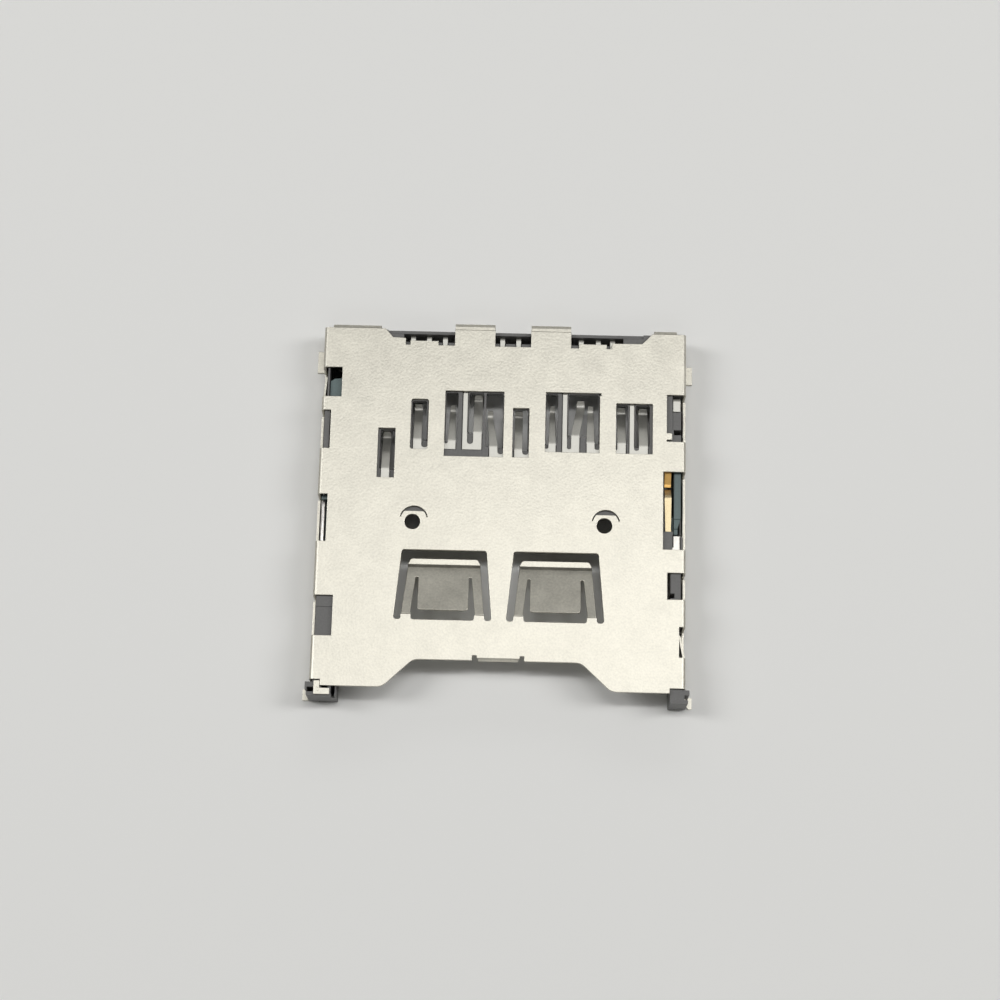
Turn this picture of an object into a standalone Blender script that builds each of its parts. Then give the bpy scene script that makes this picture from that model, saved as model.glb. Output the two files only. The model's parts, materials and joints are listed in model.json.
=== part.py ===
# Push-push socket for a full-size memory card, with its contacts on the cover side.
# The card enters from the front (-Y). Sizes are in millimetres and become metres in add_object.

import math

import bpy
import bmesh
from mathutils import Matrix, Vector

MM = 0.001
ARC_STEPS = 4
OVERSHOOT = 0.4

# Card
CARD_THICKNESS = 2.1
CARD_SIDE_PLAY = 0.05
CARD_TOP_PLAY = 0.1
PAD_PITCH = 2.5
CARD_MARGIN = 4.0

# Cover sheet
SHELL_LENGTH = 27.5
SHEET = 0.2
SPRING_SHEET = 0.18
BEND_RADIUS = 0.28
WALL_LIFT = 0.25
SHEET_FIT = 0.05
FOLD_RADIUS = 0.2
TAB_REACH = 0.25
TAB_LIFT = 0.35
FOOT_REACH = 0.65
FOOT_BEND = 0.15
FINGER_DEPTH = 2.07
WINDOW_DEPTH = 0.7
SLIT_BOTTOM = 1.0

# Hold-down leaves
LEAF_CENTRE = 4.09
LEAF_INSET = 17.3
LEAF_LENGTH = 5.2
LEAF_SLOPE = 14
LEAF_BEND = 0.5
LEAF_ROOT_HALF = 2.98
LEAF_BAR_HALF = 2.66
LEAF_ARM = 0.62
LEAF_GAP = 0.22
LEAF_TONGUE_HALF = 1.84
LEAF_LIP = 5.0

# Lanced tongues
LANCE_SPREAD = 14.08
LANCE_SHIFT = 0.215
LANCE_INSET = 15.05
LANCE_RADIUS = 1.05
LANCE_SLIT = 0.08
LANCE_HOLE = 0.575

# Housing
RIGHT_RAIL = 0.85
RAIL_WALL = 0.25
RAIL_FLOOR = 0.2
PLATE_THICKNESS = 0.44
BLOCK_REACH = 0.72
EAR_REACH = 0.55
REAR_WALL_INSET = 1.62
TAIL_POCKET = 0.6
REAR_RIDGE = 0.33

# Contacts
CONTACT_SHEET = 0.15
STRIP_WIDTH = 0.36
CONTACT_PLAY = 0.05
CONTACT_SINK = 0.11
TOUCH_INSET = 6.45
TOUCH_DROP = 1.3
BRIDGE = 0.45
ARM_PLAY = 0.12
ARM_BEND = 0.35
TIP_CURL = 40
TIP_LENGTH = 0.25
TAIL_BEND = 0.2

# Eject mechanism
SLIDER_TRAVEL = 3.3
SLIDER_CLEARANCE = 0.05
SLIDER_HEAD = 2.1
GUIDE_WIDTH = 0.4
GUIDE_LENGTH = 3.4
NOSE_REACH = 2.3
CAM_PIN_RADIUS = 0.2
CAM_PIN_BEND = 0.28
CAM_PIN_INSET = 0.22
CAM_PIN_SWING = 0.85
CAM_DEPTH = 0.7
CAM_WALL = 0.14
SPRING_RADIUS = 0.4
SPRING_WIRE = 0.07
SPRING_TURNS = 14
SPRING_PLAY = 0.1

# Switches in the right rail
SWITCH_WIDTH = 0.5
DETECT_WIDTH = 0.55
LEVER_WIDTH = 0.5
LEVER_LENGTH = 5.6
LEVER_INSET = 10.3
LEVER_POST = 0.14

# Solder clips
CLIP_INSET = 0.1
CLIP_PLATE = 1.15
CLIP_ARM = 0.42
CLIP_STRIP = 0.26
CLIP_FOOT = 0.85
CLIP_SLOT = 0.34
EAR_STEP = 0.1

# Heights worked out from the sizes above
PLATE_BOTTOM = CARD_THICKNESS + CARD_TOP_PLAY
PLATE_TOP = PLATE_BOTTOM + PLATE_THICKNESS
SHEET_BOTTOM = PLATE_TOP + SHEET_FIT
SHEET_MID = SHEET_BOTTOM + SHEET / 2
TOP = SHEET_BOTTOM + SHEET
ABOVE = TOP + OVERSHOOT
CONTACT_TOP = PLATE_TOP - CONTACT_SINK
CONTACT_MID = CONTACT_TOP - CONTACT_SHEET / 2
GROOVE_FLOOR = CONTACT_TOP - CONTACT_SHEET - 0.02
SLIDER_TOP = PLATE_TOP - 0.22
SLIDER_BOTTOM = RAIL_FLOOR + SLIDER_CLEARANCE
SPRING_Z = SLIDER_BOTTOM + SPRING_RADIUS + 0.08
BAR_BOTTOM = SPRING_Z + SPRING_RADIUS + SPRING_PLAY
PIN_Z = SHEET_BOTTOM - 0.04 - CAM_PIN_RADIUS
CAM_TOP = PIN_Z - CAM_PIN_RADIUS - 0.04
BEAM_MID = PLATE_TOP - 0.25
STRIP_ROOM = CONTACT_SHEET / 2 + CONTACT_PLAY

# Places across, from the rails' contents and the card
CARD_WIDTH = 8 * PAD_PITCH + CARD_MARGIN
CAM_LANE = CAM_PIN_RADIUS + 0.04
SPRING_NEED = GUIDE_WIDTH + 1.5 * SPRING_PLAY + 2 * SPRING_RADIUS + SPRING_PLAY
CAM_NEED = CAM_PIN_INSET + CAM_PIN_SWING + CAM_LANE + CAM_WALL
SLIDER_WIDTH = max(SPRING_NEED, CAM_NEED)
SLOT_WIDTH = CARD_WIDTH + CARD_SIDE_PLAY
HOUSING_WIDTH = SLIDER_WIDTH + RAIL_WALL + SLOT_WIDTH + RIGHT_RAIL
HOUSING_RIGHT = HOUSING_WIDTH / 2
HOUSING_LEFT = -HOUSING_RIGHT
RIGHT = HOUSING_RIGHT + SHEET_FIT + SHEET
LEFT = -RIGHT
SLIDER_IN = HOUSING_LEFT + SLIDER_WIDTH
SLOT_LEFT = SLIDER_IN + RAIL_WALL
SLOT_RIGHT = SLOT_LEFT + SLOT_WIDTH
SLOT_CENTRE = (SLOT_LEFT + SLOT_RIGHT) / 2
PIN_X = HOUSING_LEFT + CAM_PIN_INSET
SPRING_X = SLIDER_IN - SPRING_PLAY - SPRING_RADIUS
BEAM_X = SLOT_RIGHT - 0.2
SWITCH_X = HOUSING_RIGHT - 0.42
LEVER_X = HOUSING_RIGHT - 0.38
LANCE_CENTRES = [SLOT_CENTRE + LANCE_SHIFT + side * LANCE_SPREAD / 2 for side in (-1, 1)]

# Places along, from the rear face
REAR = (SHELL_LENGTH + BLOCK_REACH - TAB_REACH) / 2
FRONT = REAR - SHELL_LENGTH
HOUSING_REAR = REAR - SHEET - 2 * SHEET_FIT
HOUSING_FRONT = FRONT - BLOCK_REACH
TAIL_END = REAR + TAB_REACH
CARD_STOP = REAR - REAR_WALL_INSET
TOUCH_Y = REAR - TOUCH_INSET
JOG_FRONT = TOUCH_Y + 2.1
JOG_REAR = TOUCH_Y + 3.9
POCKET_REAR = HOUSING_REAR - REAR_RIDGE
POCKET_FRONT = POCKET_REAR - TAIL_POCKET
LEAF_REAR = REAR - LEAF_INSET
PLATE_FRONT = LEAF_REAR + 0.3
LANCE_Y = REAR - LANCE_INSET
SPRING_SEAT = HOUSING_REAR - 0.45
HEAD_REAR = SPRING_SEAT - SLIDER_TRAVEL - 0.15
HEAD_FRONT = HEAD_REAR - SLIDER_HEAD
GUIDE_REAR = HEAD_FRONT - SLIDER_CLEARANCE
GUIDE_FRONT = GUIDE_REAR - GUIDE_LENGTH
CAM_BLOCK_REAR = GUIDE_FRONT - SLIDER_TRAVEL - 0.1
PIN_TIP_Y = CAM_BLOCK_REAR - 0.6
CAM_BLOCK_FRONT = PIN_TIP_Y - SLIDER_TRAVEL - CAM_LANE - 0.91
PIN_ANCHOR_Y = CAM_BLOCK_FRONT - 0.85
SPRING_START = CAM_BLOCK_REAR + 1.6
LEVER_Y = REAR - LEVER_INSET
LEVER_FRONT = LEVER_Y + 0.3 - LEVER_LENGTH
HOOK_FRONT = LEVER_FRONT - 1.5
BEAM_END = REAR - 12.85
TERMINAL_LEG = REAR - 8.9
CLIP_Y = FRONT - 0.25
LEFT_CLIP_LEG = HOUSING_LEFT + CLIP_INSET + CONTACT_SHEET / 2
RIGHT_CLIP_LEG = HOUSING_RIGHT + 0.3


def pad_x(pad):
    """Centre of a card pad: one to seven in line, eight close to seven, nine by the cut corner."""
    first = SLOT_CENTRE - 2.7 * PAD_PITCH
    places = {8: 6.65, 9: -1.0}
    return first + places.get(pad, pad - 1) * PAD_PITCH


# Outlines


def rounded(corners, steps=ARC_STEPS):
    """Closed outline from (x, y) or (x, y, radius) corners; a radius becomes an arc."""
    outline = []
    count = len(corners)
    for index, corner in enumerate(corners):
        here = Vector(corner[:2])
        if len(corner) == 2 or corner[2] <= 0:
            outline.append(tuple(here))
            continue
        radius = corner[2]
        back = (Vector(corners[index - 1][:2]) - here).normalized()
        ahead = (Vector(corners[(index + 1) % count][:2]) - here).normalized()
        half = back.angle(ahead) / 2
        centre = here + (back + ahead).normalized() * (radius / math.sin(half))
        start = here + back * (radius / math.tan(half)) - centre
        end = here + ahead * (radius / math.tan(half)) - centre
        sweep = start.angle_signed(end)
        for step in range(steps + 1):
            turned = start.copy()
            turned.rotate(Matrix.Rotation(-sweep * step / steps, 2))
            outline.append(tuple(centre + turned))
    return outline


def rectangle(x0, y0, x1, y1, radius=0.0):
    x0, x1 = min(x0, x1), max(x0, x1)
    return rounded([(x0, y0, radius), (x1, y0, radius), (x1, y1, radius), (x0, y1, radius)])


def circle(x, y, radius, steps=20):
    angles = [2 * math.pi * step / steps for step in range(steps)]
    return [(x + radius * math.cos(angle), y + radius * math.sin(angle)) for angle in angles]


# Solids


def prism(outline, low, high, axis="Z"):
    """Closed solid with the outline as its section, from low to high along the axis."""
    place = {
        "Z": lambda u, v, w: (u, v, w),
        "Y": lambda u, v, w: (u, w, v),
        "X": lambda u, v, w: (w, u, v),
    }[axis]
    solid = bmesh.new()
    base = [solid.verts.new(place(u, v, low)) for u, v in outline]
    roof = [solid.verts.new(place(u, v, high)) for u, v in outline]
    solid.faces.new(base[::-1])
    solid.faces.new(roof)
    for index in range(len(outline)):
        after = (index + 1) % len(outline)
        solid.faces.new((base[index], base[after], roof[after], roof[index]))
    bmesh.ops.recalc_face_normals(solid, faces=solid.faces[:])
    return solid


def side_face(solid, point):
    """The upright face of a prism whose centre is nearest to a point."""
    target = Vector(point)
    upright = [face for face in solid.faces if abs(face.normal.z) < 0.5]
    return min(upright, key=lambda face: (face.calc_center_median() - target).length)


def walk(moves, angle=0.0):
    """Stations along a bent strip: (run, rise, angle, sideways, width) after each move."""
    run = 0.0
    rise = 0.0
    sideways = 0.0
    stations = []
    for kind, amount, *rest in moves:
        if kind == "line":
            run += amount * math.cos(angle)
            rise += amount * math.sin(angle)
            sideways += rest[1] if len(rest) > 1 else 0.0
            stations.append((run, rise, angle, sideways, rest[0] if rest else None))
        else:
            turn = math.radians(rest[0])
            for _ in range(ARC_STEPS):
                half_step = turn / ARC_STEPS / 2
                chord = 2 * amount * math.sin(abs(half_step))
                angle += half_step
                run += chord * math.cos(angle)
                rise += chord * math.sin(angle)
                angle += half_step
                stations.append((run, rise, angle, sideways, None))
    return stations


def follow(solid, ring, signs, origin, moves, forward, up, width, thickness, angle):
    """Extrude a four-cornered strip end through a walked path, then close it."""
    across = forward.cross(up)
    for run, rise, heading, sideways, new_width in walk(moves, angle):
        width = new_width or width
        centre = origin + forward * run + up * rise + across * sideways
        normal = up * math.cos(heading) - forward * math.sin(heading)
        layer = [
            solid.verts.new(centre + across * (side * width) + normal * (level * thickness))
            for side, level in signs
        ]
        for index in range(4):
            after = (index + 1) % 4
            solid.faces.new((ring[index], ring[after], layer[after], layer[index]))
        ring = layer
    solid.faces.new(ring)
    bmesh.ops.recalc_face_normals(solid, faces=solid.faces[:])


def grow(solid, face, moves, forward, up, width, thickness, angle=0.0):
    """Lengthen a flat blank from one of its end faces."""
    forward = Vector(forward)
    up = Vector(up)
    across = forward.cross(up)
    origin = face.calc_center_median()
    ring = list(face.verts)
    signs = []
    for vert in ring:
        offset = vert.co - origin
        signs.append((math.copysign(0.5, offset.dot(across)), math.copysign(0.5, offset.dot(up))))
    bmesh.ops.delete(solid, geom=[face], context="FACES_ONLY")
    follow(solid, ring, signs, origin, moves, forward, up, width, thickness, angle)


def bent_strip(start, moves, forward, up, width, thickness, angle=0.0):
    """A strip of sheet that begins at a point and follows a walked path."""
    forward = Vector(forward)
    up = Vector(up)
    origin = Vector(start)
    across = forward.cross(up)
    normal = up * math.cos(angle) - forward * math.sin(angle)
    signs = [(-0.5, -0.5), (0.5, -0.5), (0.5, 0.5), (-0.5, 0.5)]
    solid = bmesh.new()
    ring = [
        solid.verts.new(origin + across * (side * width) + normal * (level * thickness))
        for side, level in signs
    ]
    solid.faces.new(ring)
    follow(solid, ring, signs, origin, moves, forward, up, width, thickness, angle)
    return solid


def tube(points, radius, sides):
    """Round wire through a list of points."""
    solid = bmesh.new()
    rings = []
    count = len(points)
    side_way = None
    for index, point in enumerate(points):
        ahead = (points[min(index + 1, count - 1)] - points[max(index - 1, 0)]).normalized()
        if side_way is None:
            side_way = ahead.orthogonal().normalized()
        side_way = (side_way - ahead * side_way.dot(ahead)).normalized()
        third = ahead.cross(side_way)
        ring = []
        for step in range(sides):
            angle = 2 * math.pi * step / sides
            offset = side_way * math.cos(angle) + third * math.sin(angle)
            ring.append(solid.verts.new(point + offset * radius))
        rings.append(ring)
    solid.faces.new(rings[0])
    solid.faces.new(rings[-1])
    for before, after in zip(rings, rings[1:]):
        for step in range(sides):
            beside = (step + 1) % sides
            solid.faces.new((before[step], before[beside], after[beside], after[step]))
    bmesh.ops.recalc_face_normals(solid, faces=solid.faces[:])
    return solid


def joined(solids):
    """One mesh that holds several solids."""
    whole = bmesh.new()
    for solid in solids:
        loose = bpy.data.meshes.new("loose")
        solid.to_mesh(loose)
        whole.from_mesh(loose)
        bpy.data.meshes.remove(loose)
    return whole


# Objects


def material(name, colour, roughness, metallic):
    made = bpy.data.materials.new(name)
    made.use_nodes = True
    shader = made.node_tree.nodes["Principled BSDF"]
    shader.inputs["Base Color"].default_value = (*colour, 1.0)
    shader.inputs["Roughness"].default_value = roughness
    shader.inputs["Metallic"].default_value = metallic
    made.diffuse_color = (*colour, 1.0)
    return made


def add_object(name, solid, origin=(0.0, 0.0, 0.0)):
    offset = Vector(origin)
    bmesh.ops.translate(solid, verts=solid.verts[:], vec=-offset)
    bmesh.ops.scale(solid, verts=solid.verts[:], vec=(MM, MM, MM))
    mesh = bpy.data.meshes.new(name)
    solid.to_mesh(mesh)
    made = bpy.data.objects.new(name, mesh)
    made.location = offset * MM
    bpy.context.scene.collection.objects.link(made)
    return made


def add_part(name, solid, look, origin=(0.0, 0.0, 0.0), round_piece=False):
    part = add_object(name, solid, origin)
    part.data.materials.append(look)
    if round_piece:
        part.data.shade_smooth()
        part.data.set_sharp_from_angle(angle=math.radians(40))
    return part


def combine(part, solids, operation):
    """Cut or join a group of solids that don't overlap each other."""
    tool = add_object(f"{part.name}_{operation.lower()}_{len(part.modifiers)}", joined(solids))
    tool.hide_render = True
    tool.display_type = "WIRE"
    step = part.modifiers.new(operation.lower(), "BOOLEAN")
    step.operation = operation
    step.solver = "EXACT"
    step.object = tool


# Looks
STEEL = material("plated_steel", (0.80, 0.78, 0.70), 0.35, 1.0)
CONTACT_METAL = material("contact_metal", (0.74, 0.72, 0.66), 0.28, 1.0)
SPRING_STEEL = material("spring_steel", (0.74, 0.72, 0.66), 0.28, 1.0)
GOLD = material("gold_plate", (0.83, 0.64, 0.34), 0.25, 1.0)
BLACK_PLASTIC = material("black_plastic", (0.10, 0.099, 0.097), 0.5, 0.0)
TEAL_PLASTIC = material("teal_plastic", (0.075, 0.11, 0.105), 0.45, 0.0)


# Contacts


class Contact:
    """A stamped hairpin: sprung arm, bridge, strip beside the arm, tail to the board."""

    def __init__(self, name, pad, arm, width, slant, strip, tail, front, slope, tip, rear, narrow=None):
        self.name = name
        hundredth = PAD_PITCH / 100
        self.arm_x = pad_x(pad) + arm * hundredth
        self.width = width
        self.slant = slant * hundredth
        self.strip_x = pad_x(pad) + strip * hundredth
        self.tail_x = pad_x(pad) + tail * hundredth
        self.front = TOUCH_Y + front
        self.slope = TOUCH_Y + slope
        self.tip = TOUCH_Y + tip
        self.rear = TOUCH_Y + rear
        self.tip_width = narrow or width
        self.side = 1 if self.strip_x > self.arm_x else -1

    def outline(self, play, slot):
        """Plan of the flat blank, grown by play; slot leaves the gap beside the arm open."""
        half = STRIP_WIDTH / 2 + play
        reach = abs(self.strip_x - self.arm_x)
        shift = (self.tail_x - self.strip_x) * self.side
        arm_half = self.width / 2 + play
        end = POCKET_FRONT + play
        outer = [(reach + half, JOG_FRONT), (reach + half + shift, JOG_REAR), (reach + half + shift, end)]
        inner = [(reach - half + shift, end), (reach - half + shift, JOG_REAR), (reach - half, JOG_FRONT)]
        corners = [(-arm_half, self.slope), (-arm_half, self.front - play)]
        corners.append((reach + half, self.front - play))
        corners += outer + inner
        if slot:
            gap = reach - half - arm_half
            bottom = self.front + BRIDGE
            corners += [(reach - half, bottom, gap * 0.45), (arm_half, bottom, gap * 0.45)]
            corners.append((arm_half, self.slope))
        else:
            corners.append((reach - half, self.slope))
        return [(self.arm_x + self.side * u, v) for u, v in rounded(corners)]

    def window(self):
        """Opening in the contact plate that the arm moves in."""
        reach = abs(self.strip_x - self.arm_x)
        inner = reach - STRIP_WIDTH / 2 - 2 * CONTACT_PLAY
        lean = self.slant * self.side
        outer = min(-self.width / 2, lean - self.tip_width / 2) - ARM_PLAY
        inner = max(min(inner, self.width / 2 + 0.35), lean + self.tip_width / 2 + ARM_PLAY)
        ends = [self.arm_x + self.side * outer, self.arm_x + self.side * inner]
        return rectangle(ends[0], self.slope - 0.03, ends[1], self.rear, 0.1)

    def solid(self):
        flat = prism(self.outline(0.0, True), CONTACT_TOP - CONTACT_SHEET, CONTACT_TOP)
        drop = CONTACT_MID - TOUCH_DROP
        span = self.tip - self.slope
        tilt = math.atan2(drop, span)
        length = math.hypot(drop, span) - 2 * ARM_BEND * math.tan(tilt / 2)
        tilt = math.degrees(tilt)
        arm = [
            ("arc", ARM_BEND, -tilt),
            ("line", length, self.tip_width, self.slant),
            ("arc", ARM_BEND, tilt + TIP_CURL),
            ("line", TIP_LENGTH, self.tip_width * 0.8),
        ]
        end = side_face(flat, (self.arm_x, self.slope, CONTACT_MID))
        grow(flat, end, arm, (0, 1, 0), (0, 0, 1), self.width, CONTACT_SHEET)
        fall = CONTACT_MID - 2 * TAIL_BEND - CONTACT_SHEET / 2
        out = POCKET_REAR - STRIP_ROOM - TAIL_BEND - POCKET_FRONT
        foot = TAIL_END - POCKET_FRONT - out - 2 * TAIL_BEND
        tail = [
            ("line", out),
            ("arc", TAIL_BEND, -90),
            ("line", fall),
            ("arc", TAIL_BEND, 90),
            ("line", foot),
        ]
        end = side_face(flat, (self.tail_x, POCKET_FRONT, CONTACT_MID))
        grow(flat, end, tail, (0, 1, 0), (0, 0, 1), STRIP_WIDTH, CONTACT_SHEET)
        return flat


# Across: arm, slant, strip and tail in hundredths of the pitch from the pad's centre, width in mm.
# Along, in mm from the touch line: front, slope, tip and the window's rear end; then the tip's width
CONTACTS = [
    Contact("contact_1", 1, -1.6, 0.62, 0, 37.6, 24.8, -3.4, -2.38, 0.15, 0.6),
    Contact("contact_2", 2, 0.8, 0.6, 0, -29.2, -27.2, -3.06, -2.43, 0.1, 1.3, 0.42),
    Contact("contact_3_detect", 3, -23.2, 0.64, 0, -61.2, -75.2, -3.06, -1.73, 0.95, 1.3),
    Contact("contact_3", 3, 24.8, 0.62, -11.2, 62.4, 44.8, -3.8, -2.83, -0.3, 1.3, 0.4),
    Contact("contact_4", 4, -1.2, 0.6, 0, 36.8, -7.2, -3.8, -3.0, -0.25, 0.15),
    Contact("contact_5", 5, -1.2, 0.55, 0, -31.2, -31.2, -3.3, -2.5, 0.2, 1.35, 0.4),
    Contact("contact_6_detect", 6, -32.4, 0.62, 15.2, -64.4, -67.2, -3.3, -1.85, 0.65, 1.35),
    Contact("contact_6", 6, 12.8, 0.6, 0, 46.8, -19.2, -3.3, -2.35, 0.25, 1.35, 0.42),
    Contact("contact_7", 7, 4.8, 0.65, 0, -24, -68, -3.3, -2.35, 0.2, 0.62),
    Contact("contact_8", 8, 4.8, 0.68, 0, -30, -90, -3.3, -2.55, 0.2, 0.62),
    Contact("contact_9", 9, 6.4, 0.62, 0, 46.8, 76.8, -5.9, -4.68, -2.05, -1.68),
]
ARMS = {contact.name: contact.arm_x for contact in CONTACTS}
TAILS = {contact.name: contact.tail_x for contact in CONTACTS}


# Cover sheet

# Windows over the contacts: first and last arm, margins across, front and rear from the touch line,
# corner radius, notch at the rear right corner
CONTACT_WINDOWS = [
    ("contact_9", "contact_9", 0.59, 0.69, -5.42, -1.63, 0.05, 0.0),
    ("contact_1", "contact_1", 0.51, 0.79, -3.18, 0.68, 0.18, 0.0),
    ("contact_2", "contact_3", 0.55, 0.73, -3.68, 1.37, 0.05, 0.0),
    ("contact_4", "contact_4", 0.45, 0.77, -3.67, 0.13, 0.05, 0.0),
    ("contact_5", "contact_6", 0.53, 0.65, -3.2, 1.42, 0.05, 0.1),
    ("contact_7", "contact_8", 0.44, 0.66, -3.2, 0.67, 0.05, 0.0),
]

# Side windows: side, depth from the outer face, front and rear distances from the rear face
SIDE_WINDOWS = [
    (-1, 1.45, 5.7, 3.42),
    (-1, 0.73, 9.72, 6.77),
    (-1, 0.75, 16.8, 13.23),
    (-1, 1.47, 23.83, 20.85),
    (1, 1.43, 8.65, 5.03),
    (1, 1.68, 16.87, 10.97),
    (1, 1.35, 20.6, 18.62),
    (1, 0.48, 24.87, 22.63),
]

# Bend of the sprung tongue in two of those windows, by the window's place in the list
SIDE_TONGUES = {0: 5, 7: 12}

# Window with a small tab at its front corner
TABBED_WINDOW = 4

# Rear edge between the bulges and the tabs: distances across from a tail and from the rear face
REAR_EDGES = [
    ("contact_1", [(-3.45, 0.1), (-2.7, 0.97), (-1.75, 1.0), (-1.75, 1.53), (-1.4, 1.53),
                   (-1.4, 1.2), (0.7, 1.2), (0.7, 1.53), (1.935, 1.53)]),
    ("contact_3", [(-0.545, 1.53), (2.135, 1.53)]),
    ("contact_7", [(-2.045, 1.53), (-1.455, 1.53), (-1.455, 1.2), (0.625, 1.2), (0.625, 1.53),
                   (1.025, 1.53), (1.025, 1.1), (3.275, 1.08), (4.225, 0.1)]),
]
SOLDER_FEET = [(-1, 2.2, 1.7), (1, 2.65, 1.4)]


def finger_cut():
    """Everything in front of the cover's front edge, with the finger cut-out and its two reliefs."""
    inner = FRONT + FINGER_DEPTH
    step = inner + 0.18
    relief = inner + 0.38
    side = RIGHT + OVERSHOOT
    return [
        (-side, FRONT + 0.45), (LEFT + 0.8, FRONT + 0.45), (LEFT + 0.8, FRONT),
        (-8.3, FRONT, 1.0), (-6.1, inner, 1.0), (-1.86, inner), (-1.86, relief, 0.08),
        (-1.52, relief, 0.08), (-1.52, step), (1.58, step), (1.58, relief, 0.08),
        (1.92, relief, 0.08), (1.92, inner), (6.0, inner, 1.0), (8.2, FRONT, 1.0),
        (RIGHT - 1.15, FRONT), (RIGHT - 1.15, FRONT + 0.35), (side, FRONT + 0.35),
        (side, FRONT - BLOCK_REACH), (-side, FRONT - BLOCK_REACH),
    ]


def leaf_window(centre):
    """Opening round a hold-down leaf, with two legs beside the roots and the gap before the tongue."""
    front = LEAF_REAR - LEAF_LENGTH
    root = front + 0.4
    outer = LEAF_ROOT_HALF + 0.05
    inner = LEAF_ROOT_HALF - LEAF_ARM - 0.06
    half = [
        (outer + 0.54, front, 0.22), (outer, front, 0.2), (outer, root), (inner, root),
        (inner, front, 0.2),
    ]
    rear = (LEAF_BAR_HALF + 0.44, LEAF_REAR, 0.2)
    right = [(centre + x, y, *rest) for x, y, *rest in [rear] + half]
    left = [(centre - x, y, *rest) for x, y, *rest in [rear] + half]
    return left + right[::-1]


def hold_down_leaf(centre):
    """Sprung leaf: two arms from the front, a cross bar with a raised lip, and a middle tongue."""
    root = LEAF_REAR - LEAF_LENGTH + 0.5
    bar = LEAF_REAR - 1.05
    slit = bar - 0.75
    tongue_front = root + 0.25
    arm_in = LEAF_ROOT_HALF - LEAF_ARM
    slit_out = LEAF_TONGUE_HALF + LEAF_GAP
    half = [
        (LEAF_BAR_HALF, bar), (LEAF_ROOT_HALF, root), (arm_in, root), (slit_out, slit, 0.08),
        (LEAF_TONGUE_HALF, slit, 0.08), (LEAF_TONGUE_HALF, tongue_front, 0.2),
    ]
    left = [(centre - x, y, *rest) for x, y, *rest in half]
    right = [(centre + x, y, *rest) for x, y, *rest in half]
    outline = rounded(left + right[::-1])
    leaf = prism(outline, SHEET_MID - SPRING_SHEET / 2, SHEET_MID + SPRING_SHEET / 2)
    arm_x = LEAF_ROOT_HALF - LEAF_ARM / 2
    arm_faces = [side_face(leaf, (centre + side * arm_x, root, SHEET_MID)) for side in (-1, 1)]
    bar_face = side_face(leaf, (centre, bar, SHEET_MID))
    tilt = math.radians(-LEAF_SLOPE)
    sink = LEAF_BEND * (1 - math.cos(tilt))
    turn = Matrix.Rotation(tilt, 3, "X")
    bmesh.ops.rotate(leaf, verts=leaf.verts[:], cent=Vector((0, root, SHEET_MID)), matrix=turn)
    bmesh.ops.translate(leaf, verts=leaf.verts[:], vec=(0, 0, -sink))
    for face in arm_faces:
        root_moves = [("arc", LEAF_BEND, -LEAF_SLOPE), ("line", 0.35)]
        grow(leaf, face, root_moves, (0, -1, 0), (0, 0, 1), LEAF_ARM, SPRING_SHEET, -tilt)
    lip = [
        ("arc", FOLD_RADIUS, -12), ("line", 0.22), ("arc", FOLD_RADIUS, LEAF_SLOPE + 14),
        ("line", 0.2, LEAF_LIP + 0.1), ("line", 0.12, LEAF_LIP), ("line", 0.06, LEAF_LIP - 0.2),
        ("line", 0.02, LEAF_LIP - 0.4),
    ]
    grow(leaf, bar_face, lip, (0, 1, 0), (0, 0, 1), 2 * LEAF_BAR_HALF, SPRING_SHEET, tilt)
    return leaf


def lance(centre_x):
    """Half-round slit round the edge of a tongue, straight on its inner side."""
    angles = [math.radians(12 + 156 * step / 16) for step in range(17)]
    inner_radius = LANCE_RADIUS - LANCE_SLIT
    straight = LANCE_RADIUS * 0.63
    outer = [(LANCE_RADIUS * math.cos(a), LANCE_RADIUS * math.sin(a)) for a in angles]
    inner = [(inner_radius * math.cos(a), min(inner_radius * math.sin(a), straight)) for a in angles]
    return [(centre_x + x, LANCE_Y + y) for x, y in outer + inner[::-1]]


def contact_window(first, last, left, right, front, rear, radius, notch):
    x0 = ARMS[first] - left
    x1 = ARMS[last] + right
    y0 = TOUCH_Y + front
    y1 = TOUCH_Y + rear
    if not notch:
        return rectangle(x0, y0, x1, y1, radius)
    return rounded([
        (x0, y0, radius), (x1, y0, radius), (x1, y1 - 2 * notch), (x1 + notch, y1 - 2 * notch),
        (x1 + notch, y1), (x0, y1, radius),
    ])


def side_window(index):
    side, depth, front, rear = SIDE_WINDOWS[index]
    inner = side * (RIGHT - depth)
    outer = side * (RIGHT + OVERSHOOT)
    y0 = REAR - front
    y1 = REAR - rear
    if index != TABBED_WINDOW:
        return rectangle(inner, y0, outer, y1)
    tip = inner + side * 0.4
    return rounded([
        (inner, y0), (outer, y0), (outer, y1), (inner, y1), (inner, y0 + 0.66),
        (tip, y0 + 0.66, 0.1), (tip, y0 + 0.14, 0.05), (inner, y0 + 0.14),
    ])


def rear_edges():
    """The rear edge's three stretches as lists of (x, y)."""
    return [
        [(TAILS[tail] + across, REAR - inset) for across, inset in edge] for tail, edge in REAR_EDGES
    ]


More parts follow.
